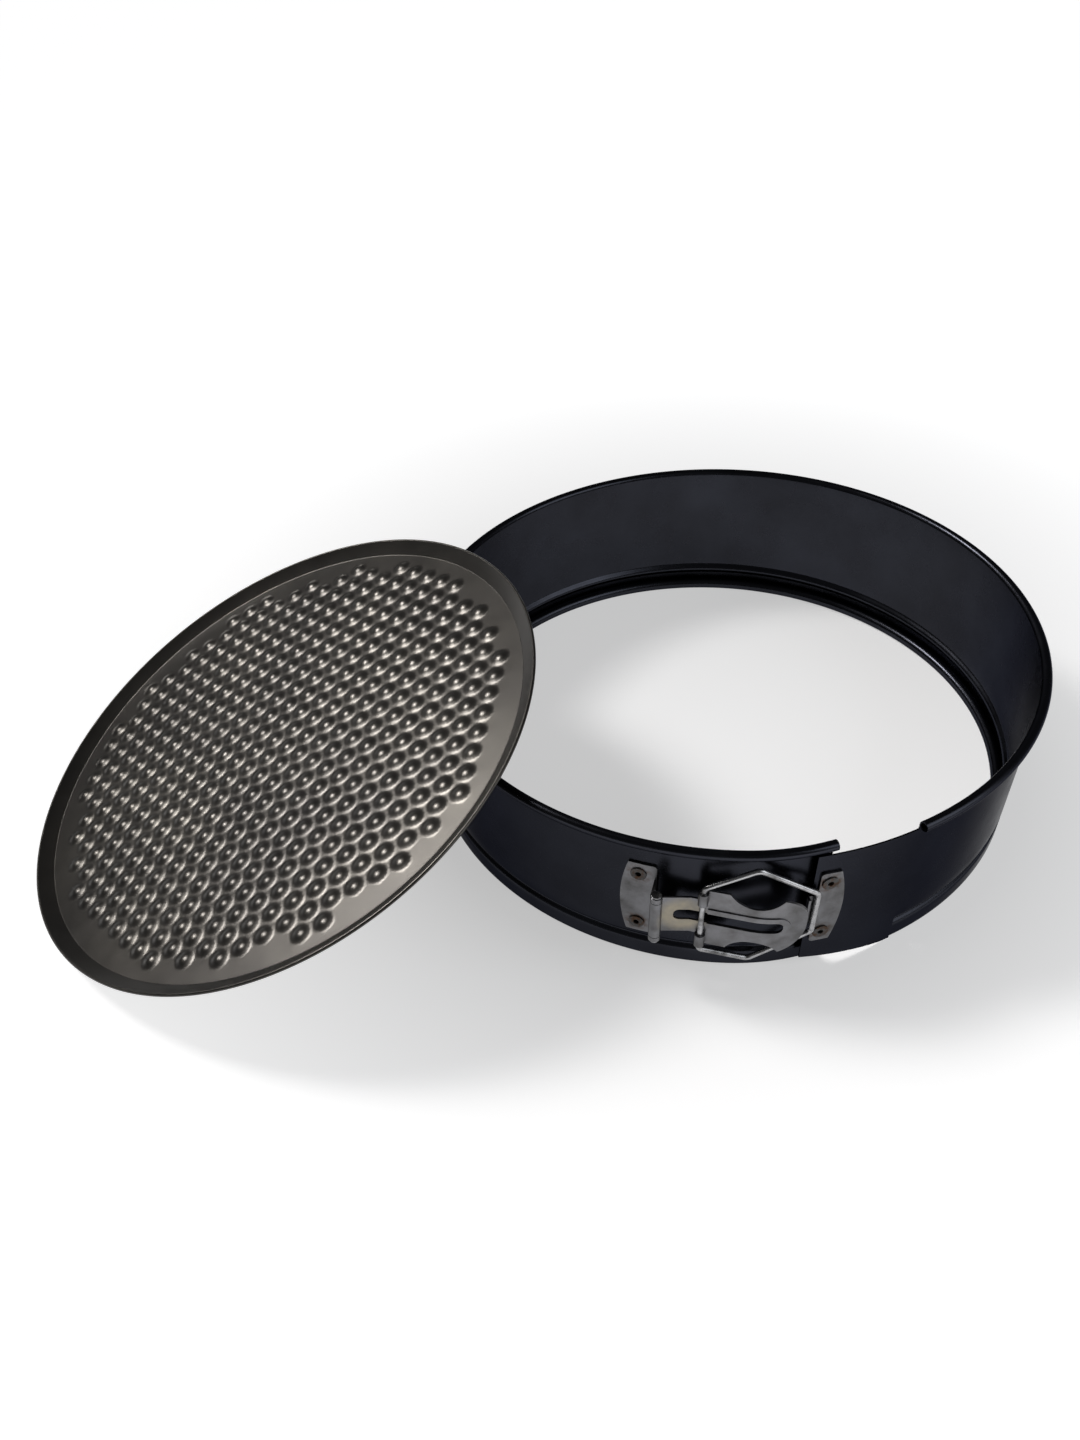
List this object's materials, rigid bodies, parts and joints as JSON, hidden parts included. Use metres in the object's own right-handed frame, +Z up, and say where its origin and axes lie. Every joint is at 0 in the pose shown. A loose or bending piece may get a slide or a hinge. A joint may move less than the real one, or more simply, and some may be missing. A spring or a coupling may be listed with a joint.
{
  "type": "springform pan",
  "caption": "Round springform baking pan taken apart: an open sheet-steel ring with a lever and wire-loop latch, and a loose dimpled base leaning on its rim.",
  "frame": {"origin": "on the table, on the axis of the ring", "axes": "+Z up along the ring's axis; -Y towards the middle of the latch; the base leans on the ring from -X"},
  "size_m": [0.4663, 0.3251, 0.0975],
  "materials": {
    "coating": "dark satin non-stick coating on sheet steel",
    "base_sheet": "dark grey satin metallic coating on sheet steel, with pressed bumps",
    "latch_sheet": "dull zinc plating with tarnish",
    "wire": "bright zinc plating",
    "rivet": "dull zinc plating, rusty inside"
  },
  "bodies": {
    "band": {"side_band": "coating", "hinge_bracket": "latch_sheet", "hinge_pin": "latch_sheet", "rivet_hinge_upper": "rivet", "rivet_hinge_lower": "rivet"},
    "lever": {"latch_lever": "latch_sheet"},
    "loop": {"wire_loop": "wire"},
    "keeper_end": {"keeper_bracket": "latch_sheet", "rivet_keeper_upper": "rivet", "rivet_keeper_lower": "rivet"},
    "base": {"base_plate": "base_sheet"}
  },
  "joints": [
    {"name": "latch_lever", "type": "hinge", "parent": "band", "child": "lever", "pos_m": [-0.03159, -0.14255, 0.0375], "axis": [0, 0, -1], "range_deg": [0, 196.38]},
    {"name": "loop_swing", "type": "hinge", "parent": "lever", "child": "loop", "pos_m": [-0.01359, -0.1429, 0.0375], "axis": [0, 0, -1], "range_deg": [-184.75, 0]},
    {"name": "band_close", "type": "hinge", "parent": "band", "child": "keeper_end", "pos_m": [0, 0, 0.0375], "axis": [0, 0, -1], "range_deg": [0, 14.37], "deforming": ["side_band"]},
    {"name": "base_lift", "type": "slide", "parent": "band", "child": "base", "axis": [0, 0, 1], "range_m": [0, 0.25]}
  ],
  "couplings": [
    {"joint": "loop_swing", "follows": "latch_lever", "ratio": -0.94052},
    {"joint": "band_close", "follows": "latch_lever", "ratio": 0.072921}
  ]
}
